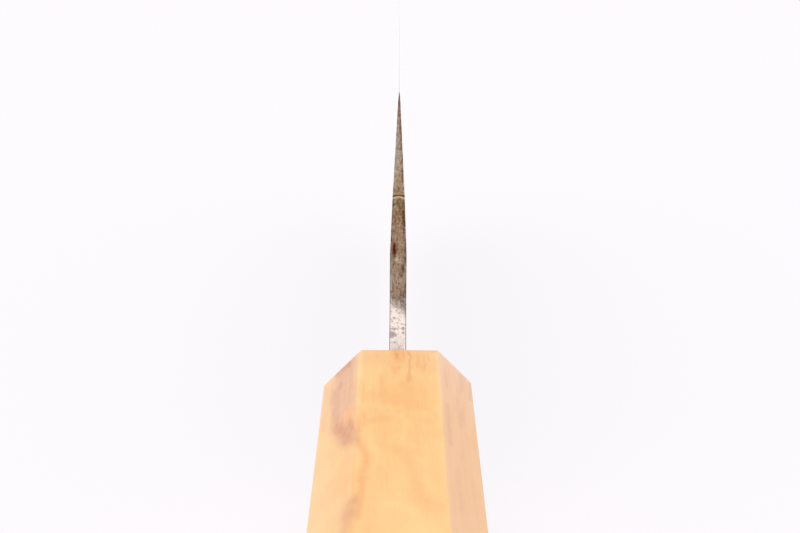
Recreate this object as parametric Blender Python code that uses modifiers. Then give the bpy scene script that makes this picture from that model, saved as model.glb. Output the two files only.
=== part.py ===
"""Santoku knife: a forged blade whose hidden tang is bedded in a one-piece octagonal wooden handle.

The knife stands edge up on the flat facet of its handle that faces the spine. +X points to the tip, +Z to the
cutting edge, and the origin is the centre of that facet. Sizes below are in millimetres.
"""

import math

import bmesh
import bpy
import numpy as np

MM = 0.001

# Handle: eight flats, a little larger at the butt. Its spine-side facet is level, and left and right are as
# seen from the butt.
HANDLE_LENGTH = 130.0
HANDLE_FRONT_WIDTH = 18.6
HANDLE_FRONT_HEIGHT = 21.5
HANDLE_BUTT_WIDTH = 20.0
HANDLE_BUTT_HEIGHT = 23.0
CHAMFER_LEFT = 4.7
CHAMFER_RIGHT = 4.25
RIDGE_EASING = 0.35
FRONT_EASING = 0.4
BUTT_EASING = 1.4

# Blade outline, measured from the heel face and from the spine
BLADE_LENGTH = 165.0
HEEL_HEIGHT = 46.0
FLAT_EDGE_LENGTH = 70.0
EDGE_RISE = 6.0
EDGE_CURVE_POWER = 2.3
SPINE_ARC_RADIUS = 70.0

# Neck and hidden tang
NECK_LENGTH = 19.0
NECK_HEIGHT = 12.0
NECK_THICKNESS = 2.4
CHOIL_RADIUS = 7.0
TANG_LENGTH = 95.0
TANG_END_HEIGHT = 7.0
TANG_END_THICKNESS = 1.8

# Blade section: thickness at the spine, and the ground faces from the shinogi line to the edge
HEEL_THICKNESS = 2.2
MIDDLE_THICKNESS = 1.9
MIDDLE_FROM_HEEL = 90.0
NEAR_TIP_THICKNESS = 0.9
NEAR_TIP_FROM_TIP = 14.0
TIP_THICKNESS = 0.45
TIP_HEIGHT = 0.8
SHINOGI_DROP = 21.8
TIP_SHINOGI_SHARE = 0.8
BELLY_DROP = 13.8
BELLY_SHARE = 0.72
CUTTING_BEVEL_DROP = 1.3
SHOULDER_THICKNESS = 0.32
EDGE_THICKNESS = 0.1
SPINE_EASING = 0.25

# Resin between the tang and the pocket in the wood
CLEARANCE = 0.3
BEDDING_WALL = 0.7

# Mesh resolution and how far a cutter runs past what it cuts
CUT_PAST = 1.0
CHOIL_STEPS = 12
BODY_STATIONS = 14
TIP_STATIONS = 18
EASING_SEGMENTS = 3
SHINOGI_BLEND = 6
SHARP_ANGLE = math.radians(28)

# Places that follow from the sizes above
HANDLE_FRONT_X = HANDLE_LENGTH / 2
HANDLE_BUTT_X = -HANDLE_LENGTH / 2
HEEL_X = HANDLE_FRONT_X + NECK_LENGTH
TIP_X = HEEL_X + BLADE_LENGTH
TANG_END_X = HANDLE_FRONT_X - TANG_LENGTH
TANG_AXIS_Z = HANDLE_FRONT_HEIGHT / 2
SPINE_Z = TANG_AXIS_Z - NECK_HEIGHT / 2
NECK_TOP_Z = TANG_AXIS_Z + NECK_HEIGHT / 2
HEEL_EDGE_Z = SPINE_Z + HEEL_HEIGHT
TIP_Z = HEEL_EDGE_Z - EDGE_RISE
TIP_ARC_TURN = math.acos(1 - (TIP_Z - TIP_HEIGHT - SPINE_Z) / SPINE_ARC_RADIUS)
SPINE_ARC_X = TIP_X - SPINE_ARC_RADIUS * math.sin(TIP_ARC_TURN)
CHOIL_TOP_Z = NECK_TOP_Z + CHOIL_RADIUS


def clear_scene():
    for obj in list(bpy.data.objects):
        bpy.data.objects.remove(obj, do_unlink=True)


def new_collection(name):
    collection = bpy.data.collections.new(name)
    bpy.context.scene.collection.children.link(collection)
    return collection


def linear(channel):
    """sRGB channel from 0 to 1, as the linear value that a shader takes."""
    return channel / 12.92 if channel <= 0.04045 else ((channel + 0.055) / 1.055) ** 2.4


def make_material(name, hex_colour, roughness, metallic):
    material = bpy.data.materials.new(name)
    material.use_nodes = True
    shader = material.node_tree.nodes["Principled BSDF"]
    channels = [int(hex_colour[i : i + 2], 16) / 255 for i in (0, 2, 4)]
    colour = (*(linear(channel) for channel in channels), 1.0)
    shader.inputs["Base Color"].default_value = colour
    shader.inputs["Roughness"].default_value = roughness
    shader.inputs["Metallic"].default_value = metallic
    material.diffuse_color = colour
    return material


def add_object(name, mesh, collection, material=None):
    obj = bpy.data.objects.new(name, mesh)
    collection.objects.link(obj)
    if material:
        mesh.materials.append(material)
        mesh.shade_smooth()
        mesh.set_sharp_from_angle(angle=SHARP_ANGLE)
    return obj


def mark_cutter(obj):
    obj.hide_render = True
    obj.display_type = "WIRE"
    return obj


def loft_mesh(name, rings, weigh_edges=None):
    """Mesh skinned over rings of equal point count, closed by a face on each end ring.

    The rings run towards +X and each goes anticlockwise seen from there, so the faces point out.
    weigh_edges gives each edge its share of the Bevel width from its two end points.
    """
    bm = bmesh.new()
    rows = [[bm.verts.new(point * MM) for point in ring] for ring in rings]
    count = len(rows[0])
    for row, following in zip(rows, rows[1:]):
        for i in range(count):
            j = (i + 1) % count
            bm.faces.new((row[i], row[j], following[j], following[i]))
    bm.faces.new(rows[0][::-1])
    bm.faces.new(rows[-1])
    if weigh_edges:
        layer = bm.edges.layers.float.new("bevel_weight_edge")
        for edge in bm.edges:
            edge[layer] = weigh_edges(*(np.array(vert.co) / MM for vert in edge.verts))
    mesh = bpy.data.meshes.new(name)
    bm.to_mesh(mesh)
    bm.free()
    return mesh


def extruded_outline(name, points, half_depth, collection):
    """Closed outline of (x, z) points in the blade's plane, filled and extruded both ways along Y."""
    curve = bpy.data.curves.new(name, "CURVE")
    curve.dimensions = "2D"
    curve.fill_mode = "BOTH"
    curve.extrude = half_depth * MM
    spline = curve.splines.new("POLY")
    spline.points.add(len(points) - 1)
    for target, (x, z) in zip(spline.points, points):
        target.co = (x * MM, z * MM, 0.0, 1.0)
    spline.use_cyclic_u = True
    drawn = bpy.data.objects.new(name + "_curve", curve)
    drawn.rotation_euler.x = math.radians(90)
    collection.objects.link(drawn)
    bpy.context.view_layer.update()
    graph = bpy.context.evaluated_depsgraph_get()
    mesh = bpy.data.meshes.new_from_object(drawn.evaluated_get(graph))
    mesh.name = name
    place = drawn.matrix_world.copy()
    bpy.data.objects.remove(drawn, do_unlink=True)
    bpy.data.curves.remove(curve)
    bm = bmesh.new()
    bm.from_mesh(mesh)
    bmesh.ops.remove_doubles(bm, verts=bm.verts, dist=1e-7)
    bmesh.ops.recalc_face_normals(bm, faces=bm.faces)
    bm.to_mesh(mesh)
    bm.free()
    solid = add_object(name, mesh, collection)
    solid.matrix_world = place
    return solid


def cut(obj, cutter):
    modifier = obj.modifiers.new("cut_" + cutter.name, "BOOLEAN")
    modifier.operation = "DIFFERENCE"
    modifier.object = cutter


def blade_thickness(x):
    """Thickness at the spine: the tang swells to the neck, and the blade thins from the heel to the tip."""
    stations = (
        (TANG_END_X, TANG_END_THICKNESS),
        (HANDLE_FRONT_X, NECK_THICKNESS),
        (HEEL_X, HEEL_THICKNESS),
        (HEEL_X + MIDDLE_FROM_HEEL, MIDDLE_THICKNESS),
        (TIP_X - NEAR_TIP_FROM_TIP, NEAR_TIP_THICKNESS),
        (TIP_X, TIP_THICKNESS),
    )
    places, values = zip(*stations)
    return np.interp(x, places, values)


def edge_height(x):
    """Cutting edge: level from the heel, then a belly that bends towards the spine at the tip."""
    along = np.clip((x - HEEL_X - FLAT_EDGE_LENGTH) / (BLADE_LENGTH - FLAT_EDGE_LENGTH), 0, 1)
    return HEEL_EDGE_Z - EDGE_RISE * along**EDGE_CURVE_POWER


def spine_height(x):
    """Spine side: the tang's slope, then a straight spine, then the arc to the blunt point of the tip."""
    along_arc = max(x - SPINE_ARC_X, 0.0)
    arc = SPINE_ARC_RADIUS - math.sqrt(SPINE_ARC_RADIUS**2 - along_arc**2)
    slope = np.interp(x, (TANG_END_X, HANDLE_FRONT_X), (TANG_AXIS_Z - TANG_END_HEIGHT / 2, SPINE_Z))
    return slope + arc


def blade_ring(x):
    """Section of the blank at x, as points from the spine up one side to the edge and down the other.

    Seen from the tip it is a slab with eased spine corners, flat sides up to the shinogi line, a wide
    ground face in two slopes, and the small cutting bevel.
    """
    top = edge_height(x)
    bottom = spine_height(x)
    height = top - bottom
    half = blade_thickness(x) / 2
    share = TIP_SHINOGI_SHARE * height / SHINOGI_DROP
    taper = share / (1 + share**SHINOGI_BLEND) ** (1 / SHINOGI_BLEND)
    easing = min(SPINE_EASING, half / 2, height * (1 - TIP_SHINOGI_SHARE) / 2)
    side = (
        (half - easing, bottom),
        (half, bottom + easing),
        (half, top - SHINOGI_DROP * taper),
        (half * BELLY_SHARE, top - BELLY_DROP * taper),
        (min(SHOULDER_THICKNESS / 2, half * BELLY_SHARE), top - CUTTING_BEVEL_DROP * taper),
        (EDGE_THICKNESS / 2, top),
    )
    left = [(x, y, z) for y, z in side]
    right = [(x, -y, z) for y, z in reversed(side)]
    return np.array(left + right)


def blade_stations():
    """Section places: tang and neck, then the straight spine, then equal turns of the arc to the tip."""
    straight = np.linspace(HEEL_X, SPINE_ARC_X, BODY_STATIONS)
    turn = np.linspace(0, TIP_ARC_TURN, TIP_STATIONS)
    arc = SPINE_ARC_X + SPINE_ARC_RADIUS * np.sin(turn)
    return np.concatenate(((TANG_END_X, HANDLE_FRONT_X), straight, arc[1:]))


def heel_notch_outline():
    """What is cut away behind the heel and above the neck and tang, with the choil's quarter circle."""
    high = HEEL_EDGE_Z + CUT_PAST
    tang_top = TANG_AXIS_Z + TANG_END_HEIGHT / 2
    turn = np.linspace(0, math.pi / 2, CHOIL_STEPS)
    arc_x = HEEL_X - CHOIL_RADIUS * (1 - np.cos(turn))
    arc_z = CHOIL_TOP_Z - CHOIL_RADIUS * np.sin(turn)
    outline = [(HEEL_X, high)]
    outline += list(zip(arc_x, arc_z))
    outline += [
        (HANDLE_FRONT_X, NECK_TOP_Z),
        (TANG_END_X, tang_top),
        (TANG_END_X - CUT_PAST, tang_top),
        (TANG_END_X - CUT_PAST, high),
    ]
    return outline


def make_blade(parts, cutters):
    """Blade, neck and tang: one forging, ground on both faces and notched behind the heel."""
    steel = make_material("patinated_carbon_steel", "98826F", 0.4, 1.0)
    rings = [blade_ring(x) for x in blade_stations()]
    blade = add_object("blade", loft_mesh("blade", rings), parts, steel)
    notch = extruded_outline("heel_notch", heel_notch_outline(), NECK_THICKNESS, cutters)
    cut(blade, mark_cutter(notch))
    return blade


def tang_ring(x, grow):
    """Rectangle round the tang at x, larger than the tang by grow on every side."""
    ends = (TANG_END_X, HANDLE_FRONT_X)
    half = np.interp(x, ends, (TANG_END_THICKNESS, NECK_THICKNESS)) / 2 + grow
    half_height = np.interp(x, ends, (TANG_END_HEIGHT, NECK_HEIGHT)) / 2 + grow
    low = TANG_AXIS_Z - half_height
    high = TANG_AXIS_Z + half_height
    return np.array(((x, half, low), (x, half, high), (x, -half, high), (x, -half, low)))


def tang_envelope(name, grow, past):
    """The tang's own tapered block grown by a clearance, reaching past the handle's front face."""
    places = {TANG_END_X - grow, TANG_END_X, HANDLE_FRONT_X, HANDLE_FRONT_X + past}
    return loft_mesh(name, [tang_ring(x, grow) for x in sorted(places)])


def handle_ring(x, width, height):
    """Octagon standing on its spine-side flat, with its own chamfer on the left and on the right."""
    half = width / 2
    left, right = CHAMFER_LEFT, CHAMFER_RIGHT
    outline = (
        (half - left, 0.0),
        (half, left),
        (half, height - left),
        (half - left, height),
        (right - half, height),
        (-half, height - right),
        (-half, right),
        (right - half, 0.0),
    )
    return np.array([(x, y, z) for y, z in outline])


def handle_edge_weight(start, end):
    """Share of the largest easing that an edge gets: butt rim, front rim or long ridge."""
    if abs(start[0] - end[0]) > CUT_PAST:
        return RIDGE_EASING / BUTT_EASING
    at_front = start[0] > 0
    return FRONT_EASING / BUTT_EASING if at_front else 1.0


def make_handle(parts, cutters):
    """One block of figured wood with eased ridges, and a pocket that takes the bedded tang."""
    wood = make_material("oiled_burr_wood", "FCCA91", 0.35, 0.0)
    rings = (
        handle_ring(HANDLE_BUTT_X, HANDLE_BUTT_WIDTH, HANDLE_BUTT_HEIGHT),
        handle_ring(HANDLE_FRONT_X, HANDLE_FRONT_WIDTH, HANDLE_FRONT_HEIGHT),
    )
    handle = add_object("handle", loft_mesh("handle", rings, handle_edge_weight), parts, wood)
    easing = handle.modifiers.new("eased_edges", "BEVEL")
    easing.limit_method = "WEIGHT"
    easing.width = BUTT_EASING * MM
    easing.segments = EASING_SEGMENTS
    pocket_growth = CLEARANCE + BEDDING_WALL + CLEARANCE
    pocket = add_object("tang_pocket", tang_envelope("tang_pocket", pocket_growth, CUT_PAST), cutters)
    cut(handle, mark_cutter(pocket))
    return handle


def make_tang_bedding(parts, cutters):
    """Cured resin that fills the pocket round the tang, flush with the handle's front face."""
    resin = make_material("cured_epoxy", "6B4A2E", 0.3, 0.0)
    mesh = tang_envelope("tang_bedding", CLEARANCE + BEDDING_WALL, 0.0)
    bedding = add_object("tang_bedding", mesh, parts, resin)
    hollow = add_object("tang_hollow", tang_envelope("tang_hollow", CLEARANCE, CUT_PAST), cutters)
    cut(bedding, mark_cutter(hollow))
    return bedding


def main():
    clear_scene()
    parts = new_collection("santoku_knife")
    cutters = new_collection("cutters")
    make_blade(parts, cutters)
    make_handle(parts, cutters)
    make_tang_bedding(parts, cutters)


main()
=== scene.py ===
"""Looks of the santoku knife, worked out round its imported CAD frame.

Sizes are millimetres in the CAD's own frame: +X to the tip, +Z to the cutting edge, +Y to the left as seen
from the butt. A mesh becomes metres when it is made.
"""

import math
from functools import partial

import bpy
import numpy as np
from mathutils import Matrix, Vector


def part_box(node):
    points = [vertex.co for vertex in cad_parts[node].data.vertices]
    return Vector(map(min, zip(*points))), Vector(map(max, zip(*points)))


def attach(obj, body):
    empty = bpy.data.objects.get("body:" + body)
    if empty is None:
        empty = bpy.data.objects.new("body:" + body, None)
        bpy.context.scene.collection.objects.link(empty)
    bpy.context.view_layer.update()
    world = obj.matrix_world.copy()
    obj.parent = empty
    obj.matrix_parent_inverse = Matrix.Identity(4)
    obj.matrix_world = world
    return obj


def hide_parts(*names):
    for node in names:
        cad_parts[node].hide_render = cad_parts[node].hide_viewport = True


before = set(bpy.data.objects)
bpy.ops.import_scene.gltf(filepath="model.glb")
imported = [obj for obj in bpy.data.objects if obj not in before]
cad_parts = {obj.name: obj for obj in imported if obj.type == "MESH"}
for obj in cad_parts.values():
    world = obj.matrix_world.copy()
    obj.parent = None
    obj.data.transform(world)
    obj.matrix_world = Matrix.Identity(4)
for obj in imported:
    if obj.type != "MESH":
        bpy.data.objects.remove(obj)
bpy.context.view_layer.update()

MM = 0.001


def node_box(name):
    """Lowest and highest corner of a CAD node, in millimetres to the nearest hundredth."""
    return [[round(value / MM, 2) for value in corner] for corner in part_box(name)]


handle_low, handle_high = node_box("handle")
blade_low, blade_high = node_box("blade")

# Handle, as in the CAD: eight flats that grow a little towards the butt
BUTT_X = handle_low[0]
FRONT_X = handle_high[0]
BUTT_WIDTH = 2 * handle_high[1]
BUTT_HEIGHT = handle_high[2]
FRONT_WIDTH = 18.6
FRONT_HEIGHT = 21.5
CHAMFER_LEFT = 4.7
CHAMFER_RIGHT = 4.25
RIDGE_EASING = 0.14
FRONT_EASING = 0.25
BUTT_EASING = 1.4
CHAMFER_SHRINK = 2 - math.sqrt(2)
FLAT_CROWN = 0.015
BUTT_DOME = 0.25

# Marks of the plane: their depth, how fast they change along and round the handle, and where they fade out
PLANING_DEPTH = 0.015
PLANING_ALONG = 0.9
PLANING_AROUND = 7.0
PLANING_FADE = 3.0
PLANING_END = 0.4

# The photograph's viewpoint, fitted to its points
CAMERA_PLACE = (-249.376, 0.3613, 112.508)
CAMERA_YAW = -0.0018
CAMERA_DOWN = 0.2498
CAMERA_ROLL = 0.00669
FOCAL_PIXELS = 2600.0
SENSOR_WIDTH = 36.0
PHOTO_WIDTH = 800
PHOTO_HEIGHT = 533
NEAREST_SEEN = 0.01

# Points round the handle: along each flat, starting with the lower left chamfer, and round each ridge
FLAT_POINTS = (12, 16, 40, 80, 30, 16, 12, 18)
RIDGE_POINTS = 5
BODY_RINGS = 230
EVEN_RING_SHARE = 0.45
CAP_RINGS = 12
FIRST_CAP_SHARE = 0.05
FACE_RINGS = 9
POCKET_RINGS = 10
FIRST_POCKET_SHARE = 0.15
ROUNDING_RINGS = 5

# Tang, its pocket and the resin between them
TANG_END_X = blade_low[0]
TANG_AXIS_Z = 10.75
TANG_END_HEIGHT = 7.0
TANG_END_THICKNESS = 1.8
NECK_HEIGHT = 12.0
NECK_THICKNESS = 2 * blade_high[1]
POCKET_GROWTH = 1.3
POCKET_CHAMFER = 0.5
POCKET_EASING = 0.15
RESIN_OUTER = 1.28
RESIN_INNER = 0.01
RESIN_INNER_CHAMFER = 0.3
RESIN_BLIND_END = 1.0
RESIN_END_GAP = 0.02
RESIN_RINGS = 14
MOUTH_RINGS = 7
MOUTH_SETBACK = 0.12
MENISCUS_DEPTH = 0.35
MENISCUS_POWER = 0.7

# Blade
HEEL_X = 84.0
TIP_X = blade_high[0]
SPINE_Z = blade_low[2]
NECK_TOP_Z = SPINE_Z + NECK_HEIGHT
HEEL_EDGE_Z = blade_high[2]
TIP_Z = 44.75
TIP_HEIGHT = 0.8
CHOIL_RADIUS = 7.0
CHOIL_TOP_Z = NECK_TOP_Z + CHOIL_RADIUS
FLAT_EDGE_LENGTH = 70.0
EDGE_RISE = 6.0
EDGE_CURVE_POWER = 2.3
SPINE_ARC_RADIUS = 70.0
SPINE_ARC_TURN = math.acos(1 - (TIP_Z - TIP_HEIGHT - SPINE_Z) / SPINE_ARC_RADIUS)
SPINE_ARC_X = TIP_X - SPINE_ARC_RADIUS * math.sin(SPINE_ARC_TURN)
THICKNESS_PLACES = (TANG_END_X, FRONT_X, HEEL_X, 174.0, 235.0, TIP_X)
THICKNESS_VALUES = (TANG_END_THICKNESS, NECK_THICKNESS, 2.2, 1.9, 0.9, 0.45)

# Ground face, as depths below the edge where the blade is tall
SHINOGI_DROP = 21.8
BELLY_DROP = 13.8
EDGE_BEVEL_DROP = 1.3
BELLY_SHARE = 0.72
SHOULDER_HALF = 0.16
EDGE_HALF = 0.05
TIP_SHINOGI_SHARE = 0.8
SHINOGI_BLEND = 6
LEAST_HEIGHT = 0.01
SHINOGI_WANDER = 0.25
WANDER_PACE = 0.55
WANDER_STARTS = 12.0
FORGED_RIPPLE = 0.03
RIPPLE_PACES = (0.6, 0.7)
RIPPLE_STARTS = 10.0
RIPPLE_FADE = 3.0

# Eased corners round the rim of the blade, where their radius changes, and their longest mitre
HEEL_EASING = 0.22
HEEL_EASING_ABOVE = 0.12
HEEL_EASING_CHANGE = 5.0
SPINE_EASING = 0.28
EASING_OF_HEIGHT = 0.2
EASING_OF_THICKNESS = 0.4
LONGEST_MITRE = 2

# Columns of the blade's mesh: their counts and steps along the outline, how far they lean under the heel, and
# where rows start to gather and the ground face starts
TANG_COLUMNS = 24
CHOIL_COLUMNS = 26
HEEL_STEP = 0.45
SCORE_STEP = 0.035
SCORE_MARGIN = 0.4
EDGE_COLUMNS = 231
UNDER_NECK_X = HEEL_X - 8
UNDER_CHOIL_X = HEEL_X + 2
UNDER_HEEL_X = HEEL_X + 28
SPREAD_FROM_Z = NECK_TOP_Z + 1
GROUND_FROM_X = HEEL_X - 0.5

# Rows of the blade's mesh: bevel, belly, hollow below it and flat, and the least share down to each line
ROW_COUNTS = (5, 14, 10, 22)
LEAST_SHARES = (0.012, 0.024, 0.036)
COLUMN_SAMPLES = 801
STRIP_ROWS = 9
CORNER_ROWS = 4

# Score lines across the heel face, as heights at the middle of the blade's thickness
SCORE_HEIGHTS = (37.32, 36.9)
SCORE_ARCHES = (0.03, 0.23)
ARCH_HALF_WIDTH = 0.8
SCORE_HALF_WIDTH = 0.07
SCORE_DEPTH = 0.05

# Sine waves of the uneven surfaces, as size, pace and start: for the first phase, the second and their sum
PHASE_WAVES = (((1.0, 0.31, 1.3), (0.6, 0.87, 0.0)), ((1.0, 0.38, 1.3), (0.6, 0.87, 2.1)))
SUM_WAVES = ((0.5, 1.73, 0.4), (0.35, 2.9, 1.9))

SMOOTH_BELOW = math.radians(32)
TINY = 1e-9

# Materials of the blade, as indices of its faces
SKIN, GROUND, HONED, HEEL, BARE = range(5)


def linear(hex_colour):
    """sRGB hex colour as the linear colour that a shader takes."""
    channels = np.array([int(hex_colour[i : i + 2], 16) for i in (0, 2, 4)]) / 255
    values = np.where(channels <= 0.04045, channels / 12.92, ((channels + 0.055) / 1.055) ** 2.4)
    return (*(float(value) for value in values), 1.0)


def smooth(value, low, high):
    """0 below low, 1 above high, and the curve 3t^2 - 2t^3 between them."""
    t = np.clip((value - low) / (high - low), 0, 1)
    return t * t * (3 - 2 * t)


def waves(*phases):
    """Sum of sine waves over one or two phases and over their sum, divided by the sum of their sizes."""
    parts = [(phase, *wave) for phase, own in zip(phases, PHASE_WAVES) for wave in own]
    parts += [(sum(phases), *wave) for wave in SUM_WAVES]
    total = sum(size * np.sin(phase * pace + start) for phase, size, pace, start in parts)
    return total / sum(size for _, size, _, _ in parts)


# Meshes


def skin_rings(name, rings, start, end):
    """Closed skin over rings of points: grid faces between rings, and a fan to a pole at each end.

    rings is an array of ring, point on the ring and (x, y, z). The winding is turned round if the volume
    that it encloses comes out negative, so faces point outwards.
    """
    count, around = rings.shape[:2]
    points = np.concatenate((rings.reshape(-1, 3), [start], [end]))
    row = np.arange(count - 1)[:, None] * around
    here = np.arange(around)
    there = (here + 1) % around
    quads = np.stack((row + here, row + there, row + around + there, row + around + here), -1).reshape(-1, 4)
    last = (count - 1) * around
    first_pole, last_pole = count * around, count * around + 1
    first_fan = np.column_stack((np.full(around, first_pole), there, here))
    last_fan = np.column_stack((np.full(around, last_pole), last + here, last + there))
    triangles = np.concatenate((quads[:, [0, 1, 2]], quads[:, [0, 2, 3]], first_fan, last_fan))
    a, b, c = (points[triangles[:, k]] for k in range(3))
    if np.einsum("ij,ij->i", a, np.cross(b, c)).sum() < 0:
        quads, first_fan, last_fan = quads[:, ::-1], first_fan[:, ::-1], last_fan[:, ::-1]
    mesh = bpy.data.meshes.new(name)
    mesh.from_pydata((points * MM).tolist(), [], quads.tolist() + first_fan.tolist() + last_fan.tolist())
    mesh.shade_smooth()
    mesh.set_sharp_from_angle(angle=SMOOTH_BELOW)
    mesh.update()
    return mesh, points


def add_values(mesh, name, values):
    """Stores one number for each vertex, for the materials to read."""
    attribute = mesh.attributes.new(name, "FLOAT", "POINT")
    attribute.data.foreach_set("value", np.asarray(values, np.float32))


def finish_piece(name, mesh, looks, node):
    """Puts a mesh in the scene, with its materials, as the piece that stands for a CAD node."""
    piece = bpy.data.objects.new(name, mesh)
    bpy.context.scene.collection.objects.link(piece)
    for look in looks:
        add_material(mesh, look)
    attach(piece, "root")
    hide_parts(node)


# Handle


def handle_half_width(x):
    return np.interp(x, (BUTT_X, FRONT_X), (BUTT_WIDTH, FRONT_WIDTH)) / 2


def handle_top(x):
    return np.interp(x, (BUTT_X, FRONT_X), (BUTT_HEIGHT, FRONT_HEIGHT))


def octagon_rings(x, half, low, high, left, right, easing, crown):
    """Octagon at each x, with its own chamfer on the left and on the right.

    A corner C is the curve (1-t)^2 P + 2t(1-t) C + t^2 Q from P to Q, which lie easing away from it on the
    two flats. A flat runs straight from Q to the next P and bulges by crown times 1 - (2s-1)^2, with s from
    0 to 1.
    """
    x, half, low, high, left, right, easing, crown = np.broadcast_arrays(
        x, half, low, high, left, right, easing, crown
    )
    corner_y = (half - left, half, half, half - left, right - half, -half, -half, right - half)
    corner_z = (low, low + left, high - left, high, high, high - right, low + right, low)
    corners = np.array((corner_y, corner_z)).transpose(2, 1, 0)
    ahead = np.roll(corners, -1, axis=1) - corners
    ahead = ahead / np.linalg.norm(ahead, axis=2, keepdims=True)
    enter = corners - np.roll(ahead, 1, axis=1) * easing[:, None, None]
    leave = corners + ahead * easing[:, None, None]
    outward = np.stack((ahead[..., 1], -ahead[..., 0]), -1)
    t = np.linspace(0, 1, RIDGE_POINTS)[None, :, None]
    runs = []
    for i, count in enumerate(FLAT_POINTS):
        first, corner, last = enter[:, None, i], corners[:, None, i], leave[:, None, i]
        ridge = (1 - t) ** 2 * first + 2 * t * (1 - t) * corner + t**2 * last
        s = np.linspace(0, 1, count + 2)[None, 1:-1, None]
        flat = last + s * (enter[:, None, (i + 1) % len(FLAT_POINTS)] - last)
        bulge = crown[:, None, None] * (1 - (2 * s - 1) ** 2)
        runs += [ridge, flat + outward[:, None, i] * bulge]
    outline = np.concatenate(runs, axis=1)
    along = np.broadcast_to(x[:, None, None], outline.shape[:2] + (1,))
    return np.concatenate((along, outline), axis=2)


def handle_outline(x, inset):
    """Octagon rings of the wood at x, drawn in by inset."""
    return octagon_rings(
        x,
        handle_half_width(x) - inset - FLAT_CROWN,
        inset + FLAT_CROWN,
        handle_top(x) - inset - FLAT_CROWN,
        CHAMFER_LEFT - CHAMFER_SHRINK * inset,
        CHAMFER_RIGHT - CHAMFER_SHRINK * inset,
        RIDGE_EASING,
        FLAT_CROWN,
    )


def pocket_outline(x, growth, chamfer=POCKET_CHAMFER):
    """Octagon rings that are nearly rectangles, round the tapering tang and larger than it by growth."""
    ends = (TANG_END_X, FRONT_X)
    half = np.interp(x, ends, (TANG_END_THICKNESS, NECK_THICKNESS)) / 2 + growth
    half_height = np.interp(x, ends, (TANG_END_HEIGHT, NECK_HEIGHT)) / 2 + growth
    low, high = TANG_AXIS_Z - half_height, TANG_AXIS_Z + half_height
    return octagon_rings(x, half, low, high, chamfer, chamfer, POCKET_EASING, 0.0)


def handle_rings():
    """All rings of the wood, from the middle of the butt to the blind end of the tang's pocket.

    Butt cap: octagon times share s, at x = butt + dome s^2. Butt rounding: a quarter circle of x and inset.
    Body: the octagon alone, in rings that gather towards the front, with planing marks that draw it in by up
    to PLANING_DEPTH. Front rounding: a quarter circle. Front face: the octagon blends straight into the
    pocket's mouth. Pocket: the tang's tapering envelope.
    """
    centre = np.array((0.0, TANG_AXIS_Z))
    share = np.linspace(FIRST_CAP_SHARE, 1, CAP_RINGS)[:-1]
    cap = handle_outline(BUTT_X + BUTT_DOME * share**2, BUTT_EASING)
    cap[..., 1:] = centre + (cap[..., 1:] - centre) * share[:, None, None]
    turn = np.linspace(0, math.pi / 2, ROUNDING_RINGS)
    body_start = BUTT_X + BUTT_DOME + BUTT_EASING
    rear = handle_outline(body_start - BUTT_EASING * np.cos(turn), BUTT_EASING * (1 - np.sin(turn)))
    share = np.linspace(0, 1, BODY_RINGS)[1:]
    share = EVEN_RING_SHARE * share + (1 - EVEN_RING_SHARE) * (1 - (1 - share) ** 2)
    body_x = body_start + (FRONT_X - FRONT_EASING - body_start) * share
    body = handle_outline(body_x, 0.0)
    angle = np.arctan2(body[..., 2] - TANG_AXIS_Z, body[..., 1])
    marks = 0.5 + 0.5 * waves(body[..., 0] * PLANING_ALONG, angle * PLANING_AROUND)
    from_butt, from_front = body[..., 0] - body_start, FRONT_X - body[..., 0]
    faded = smooth(from_front, PLANING_END, PLANING_FADE) * smooth(from_butt, 0, PLANING_FADE)
    planing = PLANING_DEPTH * marks * faded
    reach = np.linalg.norm(body[..., 1:] - centre, axis=2)
    body[..., 1:] = centre + (body[..., 1:] - centre) * (1 - planing / reach)[..., None]
    front_x = FRONT_X - FRONT_EASING * (1 - np.sin(turn[1:]))
    front = handle_outline(front_x, FRONT_EASING * (1 - np.cos(turn[1:])))
    blend = np.linspace(0, 1, FACE_RINGS)[1:, None, None]
    mouth = pocket_outline(np.array((FRONT_X,)), POCKET_GROWTH)
    face = front[-1:] * (1 - blend) + mouth * blend
    depth = np.linspace(FIRST_POCKET_SHARE, 1, POCKET_RINGS) ** 2
    pocket = pocket_outline(FRONT_X - depth * (FRONT_X - TANG_END_X + POCKET_GROWTH), POCKET_GROWTH)
    return np.concatenate((cap, rear, body, front, face, pocket))


def path_mask(points, path, widths, power):
    """exp(-(d/w)^power), where d is each point's distance to a path of segments and w the width along it."""
    mask = np.zeros(len(points))
    for start, end, first, second in zip(path, path[1:], widths, widths[1:]):
        along = end - start
        share = np.clip((points - start) @ along / (along @ along), 0, 1)
        distance = np.linalg.norm(points - start - share[:, None] * along, axis=1)
        mask = np.maximum(mask, np.exp(-((distance / (first + share * (second - first))) ** power)))
    return mask


# How far the figure wanders off its strokes, how fast, how much longer it runs along the grain, and how
# sharply its strokes and its pink zones end
FIGURE_WANDER = (0.14, 0.07, 0.07)
WANDER_PACES = (2.1, 3.1, 2.9)
GRAIN_STRETCH = 3.3
SOFT_END = 2
SHARP_END = 6

# Where the photograph's figure fades in, from below the upper ridges of the sides
SHOWN_FROM = -2.2
SHOWN_FULL = -0.4

# Heights over which the chamfers' tones come in: pink wood with painted shade on the right, paler wood with
# painted light on the left; and half the width of the right one's border
SIDE_HEIGHTS = (3, 13)
PINK_SHADE_BORDER = 0.3

# Pale wear of the ridges and of the front rim, with a painted highlight: widths, shares, and the stretch
# where it comes in
RIDGE_WEAR_AND_HIGHLIGHT = 0.4
RIM_WEAR_AND_HIGHLIGHT = 0.3
RIM_WEAR_AND_HIGHLIGHT_SHARE = 0.3
RIM_WEAR_AND_HIGHLIGHT_HEIGHT = 0.6
LEAST_WEAR_AND_HIGHLIGHT = 0.2
WEAR_AND_HIGHLIGHT_COMES_IN = (28, 44)

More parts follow.
